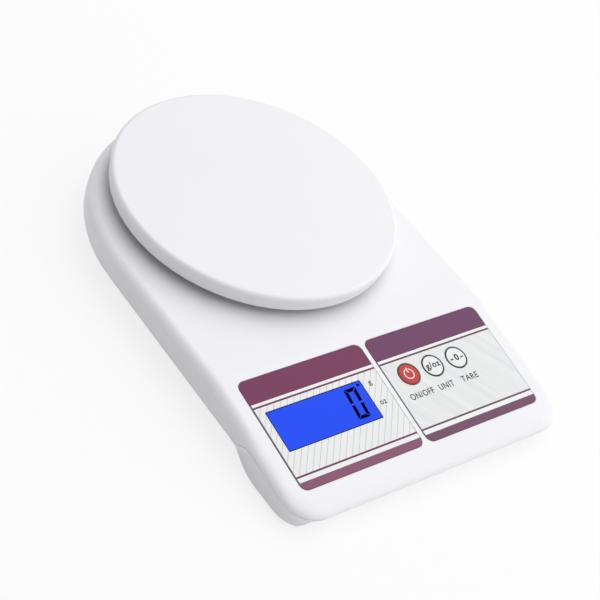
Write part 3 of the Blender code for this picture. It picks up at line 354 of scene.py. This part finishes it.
def within(tree, value, low, high):
    """1 where a value lies between two limits."""
    above = sum_of(tree, "GREATER_THAN", value, low)
    below = sum_of(tree, "LESS_THAN", value, high)
    return sum_of(tree, "MULTIPLY", above, below)


def label_film(name, node, plum, plum_low_sheen, silver, rule_ink, recess_shadow_width, hatch_ink, hatch_angle, hatch_pitch,
               hatch_width, brushed_sheen):
    """A printed film in layers: silver with painted sheen streaks, hatching, rules, a painted recess shadow
    on the left edge, and plum bands, the lower one lighter by painted sheen.
    """
    material = skin(name, silver, shade(silver, share=0.97), grain=3200.0, patch=45.0, gloss=(0.32, 0.42),
                    relief=0.000003, specular=0.2)
    tree = material.node_tree
    base = tree.nodes["Principled BSDF"].inputs["Base Color"]
    across, up = panel_axes(tree)[:2]
    down = sum_of(tree, "MULTIPLY", up, -1.0)
    slant = sum_of(tree, "MULTIPLY", across, math.sin(hatch_angle) / hatch_pitch)
    slant = sum_of(tree, "MULTIPLY_ADD", up, -math.cos(hatch_angle) / hatch_pitch, slant)
    # Painted sheen: broad soft streaks along the hatch slant darken the silver in places, strongest on the
    # keypad film.
    streak = tree.nodes.new("ShaderNodeTexNoise")
    streak.noise_dimensions = "1D"
    streak.inputs["Scale"].default_value = 0.30
    streak.inputs["Detail"].default_value = 3.0
    tree.links.new(slant, streak.inputs["W"])
    spread = tree.nodes.new("ShaderNodeMapRange")
    spread.inputs["From Min"].default_value = 0.32
    spread.inputs["From Max"].default_value = 0.68
    tree.links.new(streak.outputs["Fac"], spread.inputs["Value"])
    sheen = sum_of(tree, "MULTIPLY", spread.outputs["Result"], brushed_sheen)
    colour = paint(tree, base.links[0].from_socket, shade(silver, share=0.84), sheen)
    phase = sum_of(tree, "FRACT", sum_of(tree, "ADD", slant, lines_ahead))
    colour = paint(tree, colour, hatch_ink, sum_of(tree, "LESS_THAN", phase, hatch_width / hatch_pitch))
    line_top = top_band + top_strip
    line_low = label_height - low_band - low_strip - rule
    clear = sum_of(tree, "ADD", within(tree, down, top_band, line_top),
                   within(tree, down, line_low + rule, label_height - low_band))
    colour = paint(tree, colour, silver, clear)
    rules = sum_of(tree, "ADD", within(tree, down, line_top, line_top + rule),
                   within(tree, down, line_low, line_low + rule))
    colour = paint(tree, colour, rule_ink, rules)
    # Painted recess shadow: a thin dark grey line along the film's left edge, where the seat's wall shades
    # it.
    recess_shadow_mask = sum_of(tree, "LESS_THAN", across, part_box(node)[0].x + recess_shadow_width)
    colour = paint(tree, colour, recess_shadow_grey, recess_shadow_mask)
    colour = paint(tree, colour, plum, sum_of(tree, "LESS_THAN", down, top_band))
    # Painted sheen: the lower plum band is laid in a lighter plum than the top band.
    colour = paint(tree, colour, plum_low_sheen, sum_of(tree, "GREATER_THAN", down, label_height - low_band))
    tree.links.new(colour, base)
    return material


display_film = label_film("display_film", "display_label", plum=plum_left, plum_low_sheen=plum_left_low_sheen,
                          silver=silver_left, rule_ink=plum_left, recess_shadow_width=0.0007,
                          hatch_ink=(0.56, 0.59, 0.57), hatch_angle=math.radians(51.0),
                          hatch_pitch=0.0029, hatch_width=0.00032, brushed_sheen=0.15)
keypad_film = label_film("keypad_film", "keypad_label", plum=plum_right, plum_low_sheen=plum_right_low_sheen,
                         silver=silver_right, rule_ink=rule_right, recess_shadow_width=0.0005,
                         hatch_ink=(0.76, 0.775, 0.78), hatch_angle=math.radians(-56.0),
                         hatch_pitch=0.0012, hatch_width=0.00030, brushed_sheen=0.80)
dress(frame["nodes"]["display_label"], display_film)
dress(frame["nodes"]["keypad_label"], keypad_film)

# Display window: a clear lens flush with the film, over a display that is lit blue from behind.
# It is drawn as one lit face, with a thin dark line round its edge.
lens_flange = 0.0023
lens_line = 0.00055
window_low, window_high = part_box("display_window")
window_left = window_low.x + lens_flange
window_right = window_high.x - lens_flange
window_width = window_right - window_left
window_top = 0.0168
window_height = 0.0206
window_mid = Vector(((window_left + window_right) / 2, -(window_top + window_height / 2), 0.0))
lit_blue = (0.006, 0.070, 0.960)
edge_blue = (0.004, 0.010, 0.130)


def lit_lens():
    """A dark glossy face that glows blue, a little unevenly, inside its edge line."""
    material = skin("lit_display", (0.002, 0.004, 0.03), (0.001, 0.003, 0.02), grain=200.0, patch=80.0,
                    gloss=(0.10, 0.16), relief=0.0000005, specular=0.10)
    tree = material.node_tree
    shader = tree.nodes["Principled BSDF"]
    across, up, spot = panel_axes(tree, window_mid)
    far_x = sum_of(tree, "GREATER_THAN", sum_of(tree, "ABSOLUTE", across), window_width / 2 - lens_line)
    far_y = sum_of(tree, "GREATER_THAN", sum_of(tree, "ABSOLUTE", up), window_height / 2 - lens_line)
    glow = tree.nodes.new("ShaderNodeTexNoise")
    glow.inputs["Scale"].default_value = 34.0
    tree.links.new(spot, glow.inputs["Vector"])
    drift = tree.nodes.new("ShaderNodeMix")
    drift.data_type = "RGBA"
    drift.inputs["A"].default_value = (*lit_blue, 1.0)
    drift.inputs["B"].default_value = (*shade(lit_blue, share=0.94), 1.0)
    tree.links.new(glow.outputs["Fac"], drift.inputs["Factor"])
    colour = paint(tree, drift.outputs["Result"], edge_blue, sum_of(tree, "MAXIMUM", far_x, far_y))
    tree.links.new(colour, shader.inputs["Emission Color"])
    shader.inputs["Emission Strength"].default_value = 0.95
    return material


window_lens = fair_copy("display_window", "display_window_lens", "case")
dress(window_lens, lit_lens())

# Digit and pointer: the dark segments of the display, mitred at their corners and leaning a little.
# One open frame is cut at half height and each piece is drawn in to leave fine gaps.
ink_lift = 0.00003
segment_black = skin("segment_black", (0.0006, 0.0010, 0.0055), (0.0009, 0.0014, 0.0070), grain=900.0,
                     patch=200.0, gloss=(0.30, 0.40), specular=0.0)


def in_window(share_across, share_down):
    """A place across and down the panel, from shares of the lit window."""
    return window_left + share_across * window_width, window_top + share_down * window_height


def raise_print():
    """Give the selected flat faces the thickness of a print, in edit mode."""
    bpy.ops.mesh.extrude_region_move(TRANSFORM_OT_translate={"value": (0.0, 0.0, ink_lift)})
    bpy.ops.mesh.select_all(action="SELECT")
    bpy.ops.mesh.normals_make_consistent(inside=False)


def finish_print(piece, material):
    """Apply a flat print's place on the panel, its ink and its ride."""
    bpy.ops.object.select_all(action="DESELECT")
    piece.select_set(True)
    bpy.context.view_layer.objects.active = piece
    bpy.ops.object.transform_apply(location=True, rotation=True, scale=True)
    piece.data.transform(panel_frame)
    dress(piece, material)
    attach(piece, "case")


def segment_digit(name, left, right, top, bottom, bar_width, gap, waist, lean):
    """A nought of six bars, from a plane that is inset, cut at its waist and drawn in."""
    bpy.ops.object.select_all(action="DESELECT")
    bpy.ops.mesh.primitive_plane_add(size=1.0, location=(0.0, 0.0, 0.0))
    piece = bpy.context.view_layer.objects.active
    piece.name = name
    piece.scale = (right - left, bottom - top, 1.0)
    bpy.ops.object.transform_apply(location=False, rotation=False, scale=True)
    bpy.ops.object.mode_set(mode="EDIT")
    bpy.ops.mesh.select_all(action="SELECT")
    bpy.ops.mesh.inset(thickness=bar_width, depth=0.0)
    bpy.ops.mesh.delete(type="FACE")
    for cut in (waist / 2, -waist / 2):
        bpy.ops.mesh.select_all(action="SELECT")
        bpy.ops.mesh.bisect(plane_co=(0.0, cut, 0.0), plane_no=(0.0, 1.0, 0.0))
    bpy.ops.mesh.select_mode(type="FACE")
    bpy.ops.mesh.select_all(action="DESELECT")
    bpy.ops.object.mode_set(mode="OBJECT")
    for face in piece.data.polygons:
        face.select = abs(face.center.y) < waist / 2
    bpy.ops.object.mode_set(mode="EDIT")
    bpy.ops.mesh.delete(type="FACE")
    bpy.ops.mesh.select_all(action="SELECT")
    bpy.ops.mesh.inset(thickness=gap, depth=0.0, use_individual=True)
    bpy.ops.mesh.select_all(action="INVERT")
    bpy.ops.mesh.delete(type="FACE")
    bpy.ops.mesh.select_all(action="SELECT")
    raise_print()
    bpy.ops.mesh.select_mode(type="VERT")
    bpy.ops.object.mode_set(mode="OBJECT")
    for vert in piece.data.vertices:
        vert.co.x += lean * vert.co.y
    piece.location = ((left + right) / 2, -(top + bottom) / 2, 0.0)
    return piece


digit_left, digit_top = in_window(0.780, 0.105)
digit_right, digit_bottom = in_window(0.910, 0.870)
digit = segment_digit("display_digit", digit_left, digit_right, digit_top, digit_bottom,
                      bar_width=0.00205, gap=0.00017, waist=0.0007, lean=0.082)
finish_print(digit, segment_black)

pointer_radius = 0.00115
pointer_across, pointer_down = in_window(0.955, 0.105)
bpy.ops.object.select_all(action="DESELECT")
bpy.ops.mesh.primitive_circle_add(vertices=3, radius=pointer_radius, fill_type="NGON")
pointer = bpy.context.view_layer.objects.active
pointer.name = "unit_pointer"
bpy.ops.object.mode_set(mode="EDIT")
bpy.ops.mesh.select_all(action="SELECT")
bpy.ops.transform.rotate(value=math.radians(90.0), orient_axis="Z", center_override=(0.0, 0.0, 0.0))
raise_print()
bpy.ops.object.mode_set(mode="OBJECT")
pointer.location = (pointer_across, -pointer_down, 0.0)
finish_print(pointer, segment_black)

# Printed words: plain captions in dark grey on the films, a hair above them.
# Unit letters stand beside the display, key names below the keys.
caption_ink = skin("caption_ink", (0.030, 0.031, 0.034), (0.042, 0.043, 0.046), grain=900.0, patch=200.0,
                   gloss=(0.45, 0.60), specular=0.1)


def printed_word(name, words, across, down, cap_height, width, body="case", lift=0.0, weight=0.0001,
                 spacing=1.1):
    """A printed word of a given height and width, centred on a place on the panel."""
    bpy.ops.object.select_all(action="DESELECT")
    bpy.ops.object.text_add(location=(0.0, 0.0, 0.0))
    piece = bpy.context.view_layer.objects.active
    piece.name = name
    piece.data.body = words
    piece.data.size = 0.01
    piece.data.extrude = ink_lift / 2
    piece.data.offset = weight
    piece.data.space_character = spacing
    bpy.ops.object.convert(target="MESH")
    piece = bpy.context.view_layer.objects.active
    xs = [vert.co.x for vert in piece.data.vertices]
    ys = [vert.co.y for vert in piece.data.vertices]
    fit = Matrix.Diagonal((width / (max(xs) - min(xs)), cap_height / (max(ys) - min(ys)), 1.0, 1.0))
    middle = Vector((-(max(xs) + min(xs)) / 2, -(max(ys) + min(ys)) / 2, 0.0))
    piece.data.transform(fit @ Matrix.Translation(middle))
    piece.location = (across, -down, lift + ink_lift / 2)
    finish_print(piece, caption_ink)
    if body != "case":
        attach(piece, body)


printed_word("unit_g", "g", *in_window(1.077, 0.165), cap_height=0.0025, width=0.0019)
printed_word("unit_oz", "oz", *in_window(1.085, 0.665), cap_height=0.0020, width=0.0037)

# Keys: three crowned film spots with a dark outline, red for power and silver for the others.
# They press straight into the panel, each with its sign on it and its name below.
ring_ink = (0.040, 0.040, 0.044)
ring_inner = 0.00505
power_red = (0.600, 0.040, 0.032)
sign_white = (0.86, 0.84, 0.83)
arc_inner = 0.00225
arc_outer = 0.00280
arc_gap = 0.00085
stroke_half = 0.00028
stroke_low = 0.0006
stroke_high = 0.0033
key_crease = 40.0
key_down = 0.0221
key_face = 0.0003
name_down = key_down + 0.0111


def key_film(name, across, colour, sign):
    """A key's film with its dark outline, and the arc and stroke of the power sign."""
    material = skin(name, colour, shade(colour, share=0.96), grain=3000.0, patch=90.0, gloss=(0.24, 0.34),
                    relief=0.000003, specular=0.2)
    tree = material.node_tree
    base = tree.nodes["Principled BSDF"].inputs["Base Color"]
    x, y = panel_axes(tree, (across, -key_down, 0.0))[:2]
    radius = sum_of(tree, "SQRT", sum_of(tree, "ADD", sum_of(tree, "MULTIPLY", x, x),
                                         sum_of(tree, "MULTIPLY", y, y)))
    film = base.links[0].from_socket
    if sign == "power":
        aside = sum_of(tree, "ABSOLUTE", x)
        gap = sum_of(tree, "MULTIPLY", sum_of(tree, "LESS_THAN", aside, arc_gap),
                     sum_of(tree, "GREATER_THAN", y, 0.0))
        arc = sum_of(tree, "MULTIPLY", within(tree, radius, arc_inner, arc_outer),
                     sum_of(tree, "SUBTRACT", 1.0, gap))
        stroke = sum_of(tree, "MULTIPLY", sum_of(tree, "LESS_THAN", aside, stroke_half),
                        within(tree, y, stroke_low, stroke_high))
        film = paint(tree, film, sign_white, sum_of(tree, "MAXIMUM", arc, stroke))
    outline = sum_of(tree, "GREATER_THAN", radius, ring_inner)
    tree.links.new(paint(tree, film, ring_ink, outline), base)
    return material


key_places = {}
for node, body, colour, slot in [("power_key", "power_button", power_red, "red_film"),
                                 ("unit_key", "unit_button", silver_right, "key_film"),
                                 ("tare_key", "tare_button", silver_right, "key_film")]:
    piece = fair_copy(node, node + "_cap", body, key_crease)
    key_low, key_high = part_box(node)
    key_places[node] = (key_low.x + key_high.x) / 2
    dress(piece, key_film(node + "_film", key_places[node], colour, node.split("_")[0]))
printed_word("unit_sign", "g/oz", key_places["unit_key"], key_down, cap_height=0.0042, width=0.0084,
             body="unit_button", lift=key_face, weight=0.0002)
printed_word("tare_sign", "-0-", key_places["tare_key"], key_down, cap_height=0.0034, width=0.0076,
             body="tare_button", lift=key_face, weight=0.0003, spacing=1.45)
for node, name, words, shift, cap_height, width in [
        ("power_key", "power_name", "ON/OFF", 0.0001, 0.0031, 0.0142),
        ("unit_key", "unit_name", "UNIT", 0.0003, 0.0030, 0.0092),
        ("tare_key", "tare_name", "TARE", 0.0002, 0.0030, 0.0102)]:
    printed_word(name, words, key_places[node] + shift, name_down, cap_height, width)

# Carrier and platform: a white cross under a round white dish, moved down together by a load.
# The dish has a fine satin face and a soft rounded edge.
carrier = fair_copy("platform_carrier", "platform_carrier_cross", "platform")
dress(carrier, white_moulding)
platform = fair_copy("weighing_platform", "weighing_platform_dish", "platform")
dress(platform, white_abs)

# Stage: a plain pale floor, a white surround, one broad lamp overhead to the right and a low fill in front.
# The camera stands where the photograph was taken from, with a long lens and a tilted frame.
floor_size = 6.0
floor_level = -0.0002
floor_grey = 0.92
floor_lift = 0.78
sky_level = 0.62
sky_left_fall = 0.40
bpy.ops.object.select_all(action="DESELECT")
bpy.ops.mesh.primitive_plane_add(size=floor_size, location=(0.0, 0.0, floor_level))
floor = bpy.context.view_layer.objects.active
floor.name = "floor"


def watching(tree):
    """1 for rays that look at the stage: from the camera, off gloss or through glass."""
    ray = tree.nodes.new("ShaderNodeLightPath")
    mirrored = sum_of(tree, "MAXIMUM", ray.outputs["Is Glossy Ray"], ray.outputs["Is Transmission Ray"])
    return sum_of(tree, "MAXIMUM", ray.outputs["Is Camera Ray"], mirrored)


floor_paper = bpy.data.materials.new("floor_paper")
floor_paper.use_nodes = True
floor_tree = floor_paper.node_tree
paper = floor_tree.nodes["Principled BSDF"]
paper.inputs["Base Color"].default_value = (floor_grey, floor_grey, floor_grey, 1.0)
paper.inputs["Roughness"].default_value = 1.0
paper.inputs["Specular IOR Level"].default_value = 0.0
lift = floor_tree.nodes.new("ShaderNodeEmission")
lift.inputs["Color"].default_value = (1.0, 1.0, 1.0, 1.0)
lift.inputs["Strength"].default_value = 1.0
whiten = floor_tree.nodes.new("ShaderNodeMixShader")
lift_share = sum_of(floor_tree, "MULTIPLY", watching(floor_tree), floor_lift)
floor_tree.links.new(lift_share, whiten.inputs["Fac"])
floor_tree.links.new(paper.outputs["BSDF"], whiten.inputs[1])
floor_tree.links.new(lift.outputs["Emission"], whiten.inputs[2])
below = floor_tree.nodes.new("ShaderNodeNewGeometry")
clear_back = floor_tree.nodes.new("ShaderNodeBsdfTransparent")
one_way = floor_tree.nodes.new("ShaderNodeMixShader")
floor_tree.links.new(below.outputs["Backfacing"], one_way.inputs["Fac"])
floor_tree.links.new(whiten.outputs["Shader"], one_way.inputs[1])
floor_tree.links.new(clear_back.outputs["BSDF"], one_way.inputs[2])
floor_tree.links.new(one_way.outputs["Shader"], floor_tree.nodes["Material Output"].inputs["Surface"])
floor.data.materials.append(floor_paper)

world = bpy.data.worlds.new("white_surround")
bpy.context.scene.world = world
world.use_nodes = True
sky_tree = world.node_tree
sky = sky_tree.nodes["Background"]
sky.inputs["Color"].default_value = (1.0, 1.0, 1.0, 1.0)
facing = sky_tree.nodes.new("ShaderNodeTexCoord")
sides = sky_tree.nodes.new("ShaderNodeSeparateXYZ")
sky_tree.links.new(facing.outputs["Generated"], sides.inputs["Vector"])
left_side = sum_of(sky_tree, "MINIMUM", sides.outputs["X"], 0.0)
dimmed = sum_of(sky_tree, "MULTIPLY_ADD", left_side, sky_left_fall, sky_level)
level = sky_tree.nodes.new("ShaderNodeMapRange")
level.inputs["To Max"].default_value = 1.0
sky_tree.links.new(dimmed, level.inputs["To Min"])
sky_tree.links.new(watching(sky_tree), level.inputs["Value"])
sky_tree.links.new(level.outputs["Result"], sky.inputs["Strength"])


def area_lamp(name, side, energy, place):
    """A square lamp that faces the middle of the table."""
    light = bpy.data.lights.new(name, "AREA")
    light.size = side
    light.energy = energy
    lamp = bpy.data.objects.new(name, light)
    lamp.location = place
    lamp.rotation_euler = (-lamp.location).to_track_quat("-Z", "Y").to_euler()
    bpy.context.scene.collection.objects.link(lamp)


area_lamp("soft_lamp", side=2.6, energy=23.0, place=(0.70, -0.08, 1.55))
area_lamp("front_fill", side=1.0, energy=3.2, place=(1.2, -1.0, 0.40))

view = bpy.data.cameras.new("photo_camera")
view.lens = 108.93
view.sensor_width = 36.0
camera = bpy.data.objects.new("photo_camera", view)
camera.location = (-0.5131, -0.3858, 0.5570)
camera.rotation_euler = (math.radians(46.70), math.radians(-18.325), math.radians(-37.04))
bpy.context.scene.collection.objects.link(camera)
bpy.context.scene.camera = camera
bpy.context.scene.view_settings.view_transform = "Standard"

bpy.context.view_layer.update()
